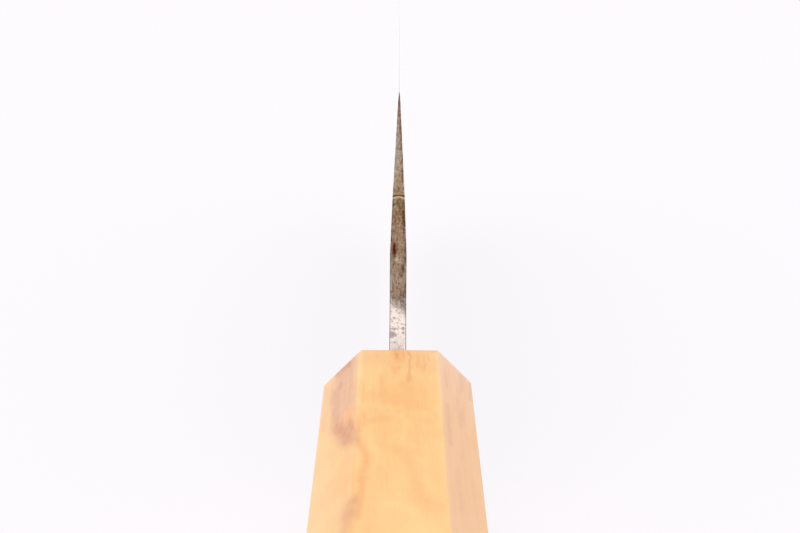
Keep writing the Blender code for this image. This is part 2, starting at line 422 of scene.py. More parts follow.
# Veins that the photograph doesn't show: seeds, counts, and the ranges that their random draws come from
ORANGE_SEED, ORANGE_COUNT = 11, 26
PURPLE_SEED, PURPLE_COUNT = 29, 9
HIDDEN_PURPLE_SHARE = 0.7
VEIN_STARTS = (-64, 55)
VEIN_LENGTHS = (14, 46)
VEIN_SWINGS = (0.3, 1.2)
VEIN_WIDTHS = (0.25, 0.7)
VEIN_STRENGTHS = (0.3, 0.9)
VEIN_SWELLS = (0.6, 1.1)
VEIN_POINTS = 9
LAST_VEIN_X = 66
SWING_TURN = 0.12
SWING_PACE = 0.21
VEIN_REACH_Y, VEIN_REACH_Z = 9.6, 11.2
SEEN_FROM_X, SEEN_FROM_Z = -6, 15.5

# Figure that the photograph shows, read from it: strokes of a strength, then points of x, y and
# half-width in its pixels
ORANGE_VEINS = (
    # Vein and its two twigs to the right of the neck, the curl and heart below the neck, and their glow
    (1.0, (406.5, 350, 1), (409, 353, 1.5), (411.5, 357.5, 1), (409.5, 360, 1.5), (409.5, 363, 1.5),
     (410, 367, 1), (409.5, 371, 1.5), (409, 374.5, 2), (409, 378.5, 4.5), (407, 382, 2)),
    (0.8, (411.5, 357, 1), (413.5, 358.5, 1)),
    (0.8, (410, 366.5, 1), (413, 367, 1)),
    (1.0, (396, 360, 1.5), (395, 356.5, 2), (396, 352.5, 2), (399.5, 350.5, 2.5), (403, 352, 2.5)),
    (0.9, (403, 352, 2.5), (404, 356.5, 2), (402, 360.5, 2), (397.5, 361.5, 1.5)),
    (1.0, (394.5, 350.5, 5.5), (399, 355, 9), (400, 359, 4)),
    (0.9, (392, 367, 2.8), (395.5, 369, 3.6), (399, 367, 2.8)),
    (0.85, (395.5, 369, 4), (396, 373, 2)),
    (0.6, (409, 351, 2), (421, 351, 1.5), (436.5, 351, 2)),
    (0.5, (420, 353, 9), (421, 361, 9.5), (423, 369, 7.5)),
    (0.3, (395, 361, 13), (396, 370, 10.5)),
    # Streaks, hearts and washes down the top flat
    (0.6, (376, 352, 1), (377, 358, 1)),
    (0.7, (382, 377.5, 3.6), (381, 385, 4), (382.5, 394, 4), (383, 402, 3)),
    (0.6, (395.5, 397.5, 4), (396, 400.5, 4), (395, 403.5, 1.5)),
    (0.55, (403, 383, 4), (410, 393, 9), (414, 403.5, 8)),
    (0.5, (363.5, 386, 1), (363.5, 402, 1)),
    (0.6, (357, 409, 1.6), (361.5, 410.5, 2), (364, 414, 2)),
    (0.85, (364, 414, 2), (364.5, 418.5, 1.8)),
    (0.4, (364.5, 418.5, 1.8), (364.5, 425, 1.4)),
    (0.1, (381, 402, 7.5), (390, 406, 6), (398, 410, 4.5)),
    (0.18, (384, 446, 7), (386, 462, 7)),
    (0.4, (419.5, 407, 2.5), (426, 409.5, 3), (433.5, 413, 3), (435.5, 417.5, 2.5)),
    # Long vein down the left of the top flat, and the clouds beside it
    (1.0, (359.5, 443, 4.2), (363, 449, 4.6), (366, 456, 5.4), (366, 463, 5.6), (362.5, 472, 6),
     (361.5, 480, 5.4), (361, 489, 5.4)),
    (0.95, (361, 489, 5.4), (360.5, 498, 5.6), (359, 507, 5.6), (357.5, 516, 5.6)),
    (0.7, (351, 513, 9), (346, 532, 9)),
    (0.45, (407, 415, 5), (419, 418, 6.5), (432, 422, 5)),
    (0.35, (373, 410, 3), (392, 411, 3.6), (409, 410, 3.4)),
    (0.45, (395.5, 445, 6.5), (401, 450.5, 8), (407.5, 457, 8), (413.5, 469, 8.5), (417.5, 483, 9.5)),
    (0.5, (417.5, 483, 9.5), (421.5, 496, 10.5), (428, 503, 10.5), (441, 506, 8)),
    (0.35, (379, 469.5, 7.5), (384, 474, 6.5)),
    # Orange of the left chamfer and of the right one, then faint washes over all three flats
    (1.0, (350, 409.5, 4.5), (349.5, 415, 5.5), (349, 421, 4.5)),
    (0.9, (352, 408.5, 2.6), (357, 408, 2.6)),
    (0.8, (356, 411, 4), (357, 420, 4.2), (358, 430, 3.8)),
    (0.9, (345, 431, 12), (350, 437, 11)),
    (1.0, (353, 435, 6), (357, 439.5, 5.4), (361, 445, 4.6)),
    (0.5, (350, 455, 8), (346, 468, 9), (344, 482, 9), (343, 495, 8)),
    (0.5, (353, 470, 5), (352, 484, 6), (353, 494, 6)),
    (0.85, (354, 498, 7), (350.5, 507, 9), (346, 518, 9)),
    (0.45, (346, 518, 9), (343, 529, 9)),
    (0.3, (473, 432, 2.5), (474, 440, 3), (473, 448, 2.5)),
    (0.2, (470, 470, 4), (474, 495, 4)),
    (0.3, (368, 488, 6), (372, 498, 9)),
    (0.45, (372, 500, 9), (369, 515, 12), (366, 530, 12)),
    (0.27, (415, 412, 10), (421, 430, 12), (418, 450, 9)),
    (0.24, (433, 446, 7), (434, 480, 7)),
    (0.2, (370, 470, 10), (400, 470, 10)),
    (0.28, (367, 410, 4), (381, 412, 5), (381, 438, 5)),
    (0.25, (331, 512, 8), (331, 532, 8)),
    (0.25, (334, 454, 6), (334, 468, 5)),
    (0.3, (386, 370, 3.5), (385.5, 382, 3.5)),
    (0.22, (403.5, 362, 4), (403, 378, 4)),
    (0.28, (416, 367, 4), (416.5, 375, 4.5), (418.5, 383, 5)),
    (0.3, (427, 372, 4), (426, 379, 4)),
)
PINK_ZONES = (
    (1.0, (353.5, 354, 4), (350.5, 362, 7), (347.5, 371, 9), (345.5, 380, 10.5), (344, 388, 12),
     (342.5, 396, 13.5), (342.5, 404, 13.5)),
    (1.0, (340, 411, 10), (337.5, 420, 7), (337, 430, 6)),
    (0.4, (325.5, 392, 4.5), (324, 412, 4.5), (323, 430, 3)),
)
PURPLE_STREAKS = (
    (0.3, (350, 362, 5.5), (346.5, 375, 8), (343.5, 392, 10), (343, 402, 9)),
    (0.85, (348, 363.5, 3.8), (343, 369, 5), (338.5, 375, 3.8)),
    (0.35, (342.5, 375, 3.4), (342, 384, 3.4)),
    (0.7, (341.5, 384, 3), (339.5, 388, 3)),
    (0.5, (339.5, 388, 3), (336.5, 394, 3)),
    (0.3, (350, 378, 4), (350.5, 388, 4.4), (350, 397, 4)),
    (0.5, (336.5, 394, 5.5), (336.5, 408, 6), (336.5, 420, 5.5)),
    (0.9, (344, 431, 11), (346, 437, 10), (346, 441, 6)),
    (0.65, (338.5, 424.5, 5), (339, 430, 6)),
    (0.65, (351, 425, 4.6), (351.5, 432, 6)),
    (0.3, (353, 436, 4), (357.5, 441, 3.6)),
    (0.5, (355.5, 499, 4.5), (352.5, 506, 7), (349.5, 512, 7), (345.5, 519, 5)),
    (0.3, (345.5, 522, 6), (341, 545, 5)),
    (0.25, (461, 378, 2.5), (461.5, 386, 3.2), (460, 393, 2.5)),
    (0.4, (469.5, 384, 1), (470, 391, 1.5), (470, 400, 1.2)),
    (0.2, (445, 370, 1.4), (446, 379, 1.8), (447, 388, 1.6)),
    (0.3, (447.5, 405, 3), (449, 425, 3.8), (451, 445, 3)),
    (0.15, (458, 398, 3), (456, 410, 3)),
    (0.3, (461.5, 411, 3), (461.5, 418, 4), (461, 426, 3)),
    (0.2, (463, 450, 1.6), (462.5, 456, 1.4), (461.5, 462, 1.2)),
    (0.15, (458, 470, 4), (459, 490, 5), (462, 510, 5)),
)
DARK_EYES = (
    # Knot in the curl, the dark of the vein, and the lines and dots to the right of it
    (0.45, (396.5, 354.5, 1.5), (397, 357, 1.5)),
    (0.2, (406.5, 350, 1), (411.5, 357.5, 1), (409.5, 360, 1), (409.5, 363, 1), (409.5, 369, 1)),
    (0.12, (409.5, 369, 1), (409, 375, 1)),
    (0.2, (418.5, 355.5, 1), (418, 362.5, 1), (417, 367, 1)),
    (0.17, (428, 354, 1), (428.5, 360, 1)),
    (0.17, (424, 355.5, 1), (424, 362.5, 1)),
    (0.2, (417, 363.5, 1), (417, 366, 1)),
    (0.18, (420, 367, 1.5), (423.5, 368, 2), (425.5, 364.5, 1.5)),
    # Darks of the left chamfer, of the curl and of the vein's heart
    (0.6, (350, 361.5, 1.2), (349.5, 366.5, 1.4)),
    (0.3, (351, 421, 3.6), (351.5, 427, 4)),
    (0.2, (338, 424, 4.5), (338.5, 430, 4.5)),
    (0.1, (401, 351, 2), (403.5, 354, 2)),
    (0.15, (410, 374, 1.6), (409, 380, 2.6)),
)


def hidden_figure(seed, count):
    """Seeded veins on the flats that the photograph doesn't show, so the wood is one block all round.

    Each runs along the grain at a steady height and side, swinging by a slow sine wave.
    """
    random = np.random.default_rng(seed)
    veins = []
    while len(veins) < count:
        start = random.uniform(*VEIN_STARTS)
        length = random.uniform(*VEIN_LENGTHS)
        angle = random.uniform(0, 2 * math.pi)
        swing = random.uniform(*VEIN_SWINGS)
        width = random.uniform(*VEIN_WIDTHS)
        strength = random.uniform(*VEIN_STRENGTHS)
        x = np.linspace(start, min(start + length, LAST_VEIN_X), VEIN_POINTS)
        turned = angle + swing * SWING_TURN * np.sin(x * SWING_PACE + start)
        y = VEIN_REACH_Y * np.cos(turned)
        z = VEIN_REACH_Z * np.sin(turned) + TANG_AXIS_Z
        if z.max() > SEEN_FROM_Z and x.max() > SEEN_FROM_X:
            continue
        widths = width * random.uniform(*VEIN_SWELLS, VEIN_POINTS)
        veins.append((strength, np.column_stack((x, y, z)), widths))
    return veins


def camera_axes():
    """Unit vectors to the right, up and forward of the camera, from its yaw, downward pitch and roll."""
    heading = np.array((math.cos(CAMERA_YAW), math.sin(CAMERA_YAW), 0.0))
    forward = heading * math.cos(CAMERA_DOWN) - np.array((0.0, 0.0, math.sin(CAMERA_DOWN)))
    level = np.cross(forward, (0, 0, 1))
    level /= np.linalg.norm(level)
    upright = np.cross(level, forward)
    right = level * math.cos(CAMERA_ROLL) + upright * math.sin(CAMERA_ROLL)
    up = upright * math.cos(CAMERA_ROLL) - level * math.sin(CAMERA_ROLL)
    return right, up, forward


def photo_pixels(points):
    """Where points show in the photograph, from its top left corner: focal length times offset over depth."""
    across, rise, depth = np.array(camera_axes()) @ (points - CAMERA_PLACE).T
    pixel_x = PHOTO_WIDTH / 2 + FOCAL_PIXELS * across / depth
    pixel_y = PHOTO_HEIGHT / 2 - FOCAL_PIXELS * rise / depth
    return np.column_stack((pixel_x, pixel_y))


def shown_figure(pixels, strokes, power=SOFT_END):
    """The strongest of several strokes at each point. Both are in the photograph's pixels."""
    mask = np.zeros(len(pixels))
    for strength, *stroke in strokes:
        path = np.array(stroke)
        mask = np.maximum(mask, strength * path_mask(pixels, path[:, :2], path[:, 2], power))
    return mask


def hidden_mask(points, seed, count):
    """The strongest of the hidden veins at each point. Distances along the grain count for less."""
    along_grain = np.array((1 / GRAIN_STRETCH, 1, 1))
    mask = np.zeros(len(points))
    for strength, path, widths in hidden_figure(seed, count):
        vein = path_mask(points * along_grain, path * along_grain, widths, SOFT_END)
        mask = np.maximum(mask, strength * vein)
    return mask


def add_wood_figure(mesh, points):
    """Veins, pink and purple heart, knot eyes, the chamfers' tones and the ridges' wear: one value each per
    vertex.

    The pale left chamfer carries painted light, the pink right one painted shade, and the worn ridges and
    front rim a painted highlight.
    """
    x, y, z = points.T
    pace_x, pace_y, pace_z = (points * WANDER_PACES).T
    wander = np.column_stack((waves(pace_y, pace_z), waves(pace_x, pace_z), waves(pace_x, pace_y)))
    warped = points + FIGURE_WANDER * wander
    beyond_side = np.abs(y) - handle_half_width(x)
    chamfer = np.where(y > 0, CHAMFER_LEFT, CHAMFER_RIGHT)
    below_top = handle_top(x) - z
    shown = smooth(chamfer - below_top, SHOWN_FROM, SHOWN_FULL)
    pixels = photo_pixels(warped)
    orange = shown * shown_figure(pixels, ORANGE_VEINS)
    purple = shown * shown_figure(pixels, PURPLE_STREAKS)
    hidden_orange = hidden_mask(warped, ORANGE_SEED, ORANGE_COUNT)
    hidden_purple = HIDDEN_PURPLE_SHARE * hidden_mask(warped, PURPLE_SEED, PURPLE_COUNT)
    add_values(mesh, "orange_vein", np.maximum(orange, hidden_orange))
    add_values(mesh, "purple_heart", np.maximum(purple, hidden_purple))
    add_values(mesh, "dark_eye", shown * shown_figure(pixels, DARK_EYES))
    add_values(mesh, "pink_heart", shown * shown_figure(pixels, PINK_ZONES, SHARP_END))
    upper = smooth(z, *SIDE_HEIGHTS)
    # Right chamfer: pink of the wood, with painted shade as it faces away from the lamp
    on_chamfer = smooth(beyond_side + chamfer, -PINK_SHADE_BORDER, PINK_SHADE_BORDER)
    add_values(mesh, "pink_side", on_chamfer * upper * (y < 0))
    # Left chamfer: paler sapwood, with painted light as it faces the lamp
    across_chamfer = np.clip(beyond_side / chamfer + 1, 0, 1)
    add_values(mesh, "sapwood_and_light", across_chamfer * upper * (y > 0))
    level = np.minimum(z, below_top)
    # Ridges and front rim: pale wear with a painted highlight
    from_long_ridge = np.abs(beyond_side + chamfer) + np.clip(level, 0, None)
    from_side_ridge = np.abs(level - chamfer) + np.clip(-beyond_side, 0, None)
    ridge = np.exp(-((np.minimum(from_long_ridge, from_side_ridge) / RIDGE_WEAR_AND_HIGHLIGHT) ** 2))
    ridge *= LEAST_WEAR_AND_HIGHLIGHT + (1 - LEAST_WEAR_AND_HIGHLIGHT) * smooth(x, *WEAR_AND_HIGHLIGHT_COMES_IN)
    rim = RIM_WEAR_AND_HIGHLIGHT_SHARE * np.exp(-(((x - FRONT_X + RIM_WEAR_AND_HIGHLIGHT / 2) / RIM_WEAR_AND_HIGHLIGHT) ** 2))
    rim *= level < FRONT_EASING + RIM_WEAR_AND_HIGHLIGHT_HEIGHT
    add_values(mesh, "worn_and_highlit", np.maximum(ridge, rim))


def make_handle():
    """One block of figured wood, planed to eight slightly crowned flats."""
    rings = handle_rings()
    start = (BUTT_X, 0.0, TANG_AXIS_Z)
    end = (TANG_END_X - POCKET_GROWTH, 0.0, TANG_AXIS_Z)
    mesh, points = skin_rings("handle_wood", rings, start, end)
    add_wood_figure(mesh, points)
    finish_piece("handle_wood", mesh, [oiled_burr_wood], "handle")


# Resin round the tang


def make_bedding():
    """Cured resin that fills the pocket: a blind sleeve whose mouth sinks in a shallow arc."""
    mouth_x = FRONT_X - MOUTH_SETBACK
    blind_x = TANG_END_X - RESIN_BLIND_END
    floor_x = TANG_END_X - RESIN_END_GAP
    outer = pocket_outline(np.linspace(blind_x, mouth_x, RESIN_RINGS), RESIN_OUTER)
    inner_x = np.linspace(mouth_x, floor_x, RESIN_RINGS)
    inner = pocket_outline(inner_x, RESIN_INNER, RESIN_INNER_CHAMFER)
    turn = np.linspace(0, math.pi, MOUTH_RINGS + 2)[1:-1]
    across = ((1 - np.cos(turn)) / 2)[:, None, None]
    outer_mouth = pocket_outline(np.array((FRONT_X,)), RESIN_OUTER)
    inner_mouth = pocket_outline(np.array((FRONT_X,)), RESIN_INNER, RESIN_INNER_CHAMFER)
    mouth = outer_mouth * (1 - across) + inner_mouth * across
    mouth[..., 0] -= MOUTH_SETBACK + MENISCUS_DEPTH * np.sin(turn)[:, None] ** MENISCUS_POWER
    rings = np.concatenate((outer, mouth, inner))
    start, end = (blind_x, 0.0, TANG_AXIS_Z), (floor_x, 0.0, TANG_AXIS_Z)
    mesh, _ = skin_rings("tang_resin", rings, start, end)
    finish_piece("tang_resin", mesh, [cured_epoxy], "tang_bedding")


# Blade


def edge_height(x):
    """Cutting edge: level from the heel, then falling by a power of the share of the way to the tip."""
    along = np.clip((x - HEEL_X - FLAT_EDGE_LENGTH) / (TIP_X - HEEL_X - FLAT_EDGE_LENGTH), 0, 1)
    return HEEL_EDGE_Z - EDGE_RISE * along**EDGE_CURVE_POWER


def spine_height(x):
    """Straight spine, then an arc of SPINE_ARC_RADIUS up to the tip."""
    along_arc = np.clip(x - SPINE_ARC_X, 0, SPINE_ARC_RADIUS)
    return SPINE_Z + SPINE_ARC_RADIUS - np.sqrt(SPINE_ARC_RADIUS**2 - along_arc**2)


def grind_depths(x):
    """Depths below the edge of the edge bevel, belly and shinogi line, drawn in where the blade runs out."""
    share = TIP_SHINOGI_SHARE * np.clip(edge_height(x) - spine_height(x), LEAST_HEIGHT, None) / SHINOGI_DROP
    taper = share / (1 + share**SHINOGI_BLEND) ** (1 / SHINOGI_BLEND)
    wander = SHINOGI_WANDER * waves(x * WANDER_PACE) * smooth(x, HEEL_X, HEEL_X + WANDER_STARTS) * taper
    return EDGE_BEVEL_DROP * taper, BELLY_DROP * taper, SHINOGI_DROP * taper + wander


def half_thickness(x, z):
    """Half the blade's thickness: straight pieces between the edge, its bevel, the belly and the shinogi.

    Below the shinogi line the flats ripple by FORGED_RIPPLE.
    """
    full = np.interp(x, THICKNESS_PLACES, THICKNESS_VALUES) / 2
    depth = np.clip(edge_height(x) - z, 0, None)
    bevel, belly, shinogi = grind_depths(x)
    shoulder = np.minimum(SHOULDER_HALF, BELLY_SHARE * full)
    near_edge = EDGE_HALF + (shoulder - EDGE_HALF) * depth / bevel
    upper = shoulder + (BELLY_SHARE * full - shoulder) * (depth - bevel) / (belly - bevel)
    lower = full * (BELLY_SHARE + (1 - BELLY_SHARE) * (depth - belly) / (shinogi - belly))
    half = np.where(depth < bevel, near_edge, np.where(depth < belly, upper, np.minimum(lower, full)))
    forged = smooth(depth, shinogi, shinogi + RIPPLE_FADE) * smooth(x, HEEL_X, HEEL_X + RIPPLE_STARTS)
    ripple = 0.5 + 0.5 * waves(x * RIPPLE_PACES[0], z * RIPPLE_PACES[1])
    return half - FORGED_RIPPLE * forged * ripple


def straight(start, end, count):
    """Points in equal steps from start towards end, without the end itself."""
    share = np.arange(count)[:, None] / count
    return np.array(start) + (np.array(end) - np.array(start)) * share


def blade_paths():
    """The blade's upper and lower outline in (x, z), as pairs of points that a straight column joins.

    Upper: tang, neck, quarter circle of the choil, heel face, cutting edge. Lower: tang, then the spine,
    walked by its own length to the tip.
    """
    turn = np.linspace(-math.pi / 2, 0, CHOIL_COLUMNS + 1)[:-1]
    choil_x = HEEL_X - CHOIL_RADIUS * (1 - np.cos(turn))
    choil_z = CHOIL_TOP_Z + CHOIL_RADIUS * np.sin(turn)
    coarse = np.arange(CHOIL_TOP_Z, HEEL_EDGE_Z - HEEL_STEP / 4, HEEL_STEP)
    fine = np.arange(min(SCORE_HEIGHTS) - SCORE_MARGIN, max(SCORE_HEIGHTS) + SCORE_MARGIN, SCORE_STEP)
    heel_z = np.unique(np.concatenate((coarse, fine)).round(3))
    along = np.linspace(0, 1, EDGE_COLUMNS)
    edge_x = HEEL_X + (TIP_X - HEEL_X) * along
    tang_top = (TANG_END_X, TANG_AXIS_Z + TANG_END_HEIGHT / 2)
    tang_low = (TANG_END_X, TANG_AXIS_Z - TANG_END_HEIGHT / 2)
    neck_top, neck_low = (FRONT_X, NECK_TOP_Z), (FRONT_X, SPINE_Z)
    upper = np.concatenate(
        (
            straight(tang_top, neck_top, TANG_COLUMNS),
            straight(neck_top, (HEEL_X - CHOIL_RADIUS, NECK_TOP_Z), TANG_COLUMNS),
            np.column_stack((choil_x, choil_z)),
            np.column_stack((np.full(len(heel_z), HEEL_X), heel_z)),
            np.column_stack((edge_x, edge_height(edge_x))),
        )
    )
    heel_share = (heel_z - CHOIL_TOP_Z) / (HEEL_EDGE_Z - CHOIL_TOP_Z)
    heel_foot_x = UNDER_CHOIL_X + (UNDER_HEEL_X - UNDER_CHOIL_X) * heel_share
    straight_spine = SPINE_ARC_X - UNDER_HEEL_X
    walked = along * (straight_spine + SPINE_ARC_RADIUS * SPINE_ARC_TURN)
    turned = np.clip((walked - straight_spine) / SPINE_ARC_RADIUS, 0, None)
    spine_x = np.minimum(UNDER_HEEL_X + walked, SPINE_ARC_X) + SPINE_ARC_RADIUS * np.sin(turned)
    spine_z = SPINE_Z + SPINE_ARC_RADIUS * (1 - np.cos(turned))
    lower = np.concatenate(
        (
            straight(tang_low, neck_low, TANG_COLUMNS),
            straight(neck_low, (UNDER_NECK_X, SPINE_Z), TANG_COLUMNS),
            straight((UNDER_NECK_X, SPINE_Z), (UNDER_CHOIL_X, SPINE_Z), CHOIL_COLUMNS),
            np.column_stack((heel_foot_x, np.full(len(heel_z), SPINE_Z))),
            np.column_stack((spine_x, spine_z)),
        )
    )
    return upper, lower


def inward_normals(path, side):
    """Mitred normals of a path: the mean of two neighbouring steps' normals over the cosine of half the turn.

    side is 1 for the right of the way along the path and -1 for its left.
    """
    step = np.diff(path, axis=0)
    step /= np.linalg.norm(step, axis=1, keepdims=True)
    normal = side * np.column_stack((step[:, 1], -step[:, 0]))
    before = np.concatenate((normal[:1], normal))
    after = np.concatenate((normal, normal[-1:]))
    mean = before + after
    mean /= np.linalg.norm(mean, axis=1, keepdims=True)
    cosine = np.clip((mean * after).sum(1), 1 / LONGEST_MITRE, 1)
    return mean / cosine[:, None]


def score_groove(y, z):
    """Depth of the two score lines: a bell across each line, which bows down by arch times (y/w)^2."""
    depth = np.zeros(np.broadcast(y, z).shape)
    for height, arch in zip(SCORE_HEIGHTS, SCORE_ARCHES):
        line = height - arch * (y / ARCH_HALF_WIDTH) ** 2
        depth += SCORE_DEPTH * np.exp(-(((z - line) / SCORE_HALF_WIDTH) ** 2))
    return depth


def rim_strip(path, inward, half, easing, scored):
    """Strip across the blade's thickness along one outline, from +Y to -Y.

    Quarter circles of radius easing turn the sides into it. Its middle is level apart from the score lines.
    """
    turn = np.linspace(0, math.pi / 2, CORNER_ROWS + 1)[None, 1:]
    corner_drop = easing[:, None] * (1 - np.sin(turn))
    corner_y = half[:, None] - easing[:, None] * (1 - np.cos(turn))
    across = np.linspace(1, -1, STRIP_ROWS + 2)[None, 1:-1] * (half - easing)[:, None]
    drop = np.concatenate((corner_drop, np.zeros(across.shape), corner_drop[:, ::-1]), axis=1)
    y = np.concatenate((corner_y, across, -corner_y[:, ::-1]), axis=1)
    if scored:
        on_heel = np.abs(path[:, :1] - HEEL_X) < TINY
        drop = drop + np.where(on_heel, score_groove(y, path[:, 1:]), 0)
    place = path[:, None, :] + inward[:, None, :] * drop[..., None]
    return np.stack((place[..., 0], y, place[..., 1]), -1)


def first_reach(values, line, sample):
    """Share along each row of values where they first reach line, read straight between two samples, or 0."""
    reached = values >= line
    index = np.clip(reached.argmax(1), 1, None)
    rows = np.arange(len(values))
    short = (line - values)[rows, index - 1]
    past = (values - line)[rows, index]
    share = np.clip(short / np.maximum(short + past, TINY), 0, 1)
    met = sample[index - 1] + share * (sample[index] - sample[index - 1])
    return np.where(reached.any(1) & ~reached[:, 0], met, 0)


def column_rows(upper, lower):
    """Shares of the way down each column, so that rows follow the edge bevel, the belly and the shinogi line.

    Where a column doesn't meet a line, as on the neck, rows are spread evenly and gather towards the heel.
    """
    sample = np.linspace(0, 1, COLUMN_SAMPLES)
    x = upper[:, :1] + (lower - upper)[:, :1] * sample
    z = upper[:, 1:] + (lower - upper)[:, 1:] * sample
    depth = edge_height(x) - z
    even = np.cumsum(ROW_COUNTS)[:3] / sum(ROW_COUNTS)
    spread = 1 - smooth(upper[:, 1], SPREAD_FROM_Z, HEEL_EDGE_Z - SHINOGI_DROP)
    spread[upper[:, 0] > HEEL_X] = 0
    stops = [np.zeros(len(upper))]
    for line, least, level in zip(grind_depths(x), LEAST_SHARES, even):
        met = first_reach(depth, line, sample)
        stops.append(np.maximum(met, least * (1 - spread) + level * spread))
    stops.append(np.ones(len(upper)))
    shares = [stops[0][:, None]]
    for low, high, count in zip(stops, stops[1:], ROW_COUNTS):
        step = np.arange(1, count + 1) / count
        shares.append(low[:, None] + (high - low)[:, None] * step)
    return np.concatenate(shares, axis=1)


def blade_rings():
    """Rings of the blade: down its left side, over the spine, up its right side, over the heel or edge."""
    upper, lower = blade_paths()
    inner_up = inward_normals(upper, 1)
    inner_low = inward_normals(lower, -1)
    change = (CHOIL_TOP_Z, CHOIL_TOP_Z + HEEL_EASING_CHANGE)
    easing_up = np.interp(upper[:, 1], change, (HEEL_EASING, HEEL_EASING_ABOVE))
    half_up = half_thickness(upper[:, 0], upper[:, 1] - EDGE_HALF / 2)
    easing_up = np.minimum(easing_up, EASING_OF_THICKNESS * half_up)
    height = np.linalg.norm(upper - lower, axis=1)
    easing_low = np.minimum(SPINE_EASING, EASING_OF_HEIGHT * height)
    half_low = half_thickness(lower[:, 0], lower[:, 1])
    easing_low = np.minimum(easing_low, EASING_OF_THICKNESS * half_low)
    start = upper + inner_up * easing_up[:, None]
    stop = lower + inner_low * easing_low[:, None]
    rows = column_rows(start, stop)
    x = start[:, :1] + (stop - start)[:, :1] * rows
    z = start[:, 1:] + (stop - start)[:, 1:] * rows
    half = half_thickness(x, z)
    left = np.stack((x, half, z), -1)
    right = np.stack((x, -half, z), -1)[:, ::-1]
    heel_strip = rim_strip(upper, inner_up, half[:, 0], easing_up, True)[:, ::-1]
    spine_strip = rim_strip(lower, inner_low, half[:, -1], easing_low, False)
    on_edge = upper[:-1, 0] > HEEL_X
    rings = np.concatenate((left, spine_strip, right, heel_strip), axis=1)
    return rings, on_edge, rows.shape[1], spine_strip.shape[1]


def make_blade():
    """Blade, neck and tang in one forging: dark forge skin, ground faces, honed edge, bare heel and spine."""
    rings, on_edge, side_rows, strip_rows = blade_rings()
    mesh, _ = skin_rings("blade_steel", rings, rings[0].mean(0), rings[-1].mean(0))
    around = rings.shape[1]
    count = len(rings) - 1
    middle = (rings[:-1] + rings[1:]) / 2
    middle = (middle + np.roll(middle, -1, axis=1)) / 2
    face_depth = edge_height(middle[..., 0]) - middle[..., 2]
    bevel_line, _, shinogi_line = grind_depths(middle[..., 0])
    on_blade = middle[..., 0] > GROUND_FROM_X
    kind = np.full((count, around), SKIN)
    kind[(face_depth < shinogi_line) & on_blade] = GROUND
    kind[(face_depth < bevel_line) & on_blade] = HONED
    column = np.arange(around)
    spine_strip = (column >= side_rows - 1) & (column < side_rows + strip_rows)
    heel_strip = column >= 2 * side_rows + strip_rows - 1
    kind[:, spine_strip] = BARE
    kind[np.ix_(~on_edge, heel_strip)] = HEEL
    kind[np.ix_(on_edge, heel_strip)] = HONED
    indices = np.concatenate((kind.reshape(-1), np.full(around, SKIN), np.full(around, BARE)))
    mesh.polygons.foreach_set("material_index", indices.astype(np.int32))
    sides = (forge_skin_steel, ground_satin_steel, honed_edge_steel)
    rim = (heel_steel_patina_and_painted_light, brushed_spine_steel)
    finish_piece("blade_steel", mesh, sides + rim, "blade")


# Materials


def add_node(tree, kind, *values, **named):
    """Adds one shader node with its settings and links, and returns it.

    values fill its inputs in order. A name with a capital is that input's own, with _ for each space, and the
    others are settings, where stops are a colour ramp's. Text given to an input is a hex colour, and a node
    stands for its first output in use.
    """
    made = tree.nodes.new("ShaderNode" + kind)
    for number, (place, colour) in enumerate(named.pop("stops", ())):
        elements = made.color_ramp.elements
        element = elements[number] if number < len(elements) else elements.new(place)
        element.position = place
        element.color = linear(colour)
    for name in [name for name in named if name[0].islower()]:
        setattr(made, name, named.pop(name))
    sockets = [socket for socket in made.inputs if socket.enabled]
    places = {socket.name.replace(" ", "_"): socket for socket in reversed(sockets)}
    for socket, value in [*zip(sockets, values), *((places[name], value) for name, value in named.items())]:
        if isinstance(value, bpy.types.Node):
            value = next(output for output in value.outputs if output.enabled)
        if isinstance(value, bpy.types.NodeSocket):
            tree.links.new(value, socket)
        else:
            socket.default_value = linear(value) if isinstance(value, str) else value
    return made


def fill_nodes(owner, output, look):
    """Gives a material or the world the surface that a look makes with the function that adds its nodes."""
    owner.use_nodes = True
    owner.node_tree.nodes.clear()
    node = partial(add_node, owner.node_tree)
    node(output, look(node))


def add_material(mesh, look):
    """Adds a material, named after its look, to a mesh."""
    material = bpy.data.materials.new(look.__name__)
    fill_nodes(material, "OutputMaterial", look)
    mesh.materials.append(material)


def millimetres(node, scale=(1, 1, 1), offset=(0, 0, 0)):
    """Object coordinates in millimetres, times scale, so a texture's Scale counts features per millimetre."""
    place = node("TexCoord").outputs["Object"]
    factors = tuple(value / MM for value in scale)
    return node("VectorMath", place, factors, tuple(offset), operation="MULTIPLY_ADD")


def weighed_sum(node, *terms):
    """Sum of (value, weight) terms."""
    total = 0.0
    for value, weight in terms:
        total = node("Math", value, weight, total, operation="MULTIPLY_ADD")
    return total


def lay_over(node, colour, *layers):
    """Colours laid over one another: each shows by up to its share, as its value goes from low to high."""
    for value, low, high, share, above in layers:
        amount = node("MapRange", value, low, high, 0.0, share)
        colour = node("Mix", amount, colour, above, data_type="RGBA")
    return colour


def heel_face_x(z):
    """Where the heel face and, below it, the quarter circle of the choil lie."""
    return HEEL_X - CHOIL_RADIUS + math.sqrt(CHOIL_RADIUS**2 - max(CHOIL_TOP_Z - z, 0.0) ** 2)


def soft_marks(node, place, marks):
    """Soft marks on the heel face and choil: strongest in the middle and gone at the rim."""
    total = 0.0
    for strength, y, z, radius_y, radius_z in marks:
        offset = node("VectorMath", place, (heel_face_x(z), y, z), operation="SUBTRACT")
        shares = node("VectorMath", offset, (MARK_REACH, radius_y, radius_z), operation="DIVIDE")
        length = node("VectorMath", shares, operation="LENGTH")
        mark = node("MapRange", length, MARK_CORE, 1.0, strength, 0.0, interpolation_type="SMOOTHSTEP")
        total = node("Math", mark, total, operation="MAXIMUM")
    return total


# Values that add_wood_figure stores on the wood
FIGURE_NAMES = ("orange_vein", "purple_heart", "pink_heart", "pink_side", "dark_eye", "sapwood_and_light", "worn_and_highlit")


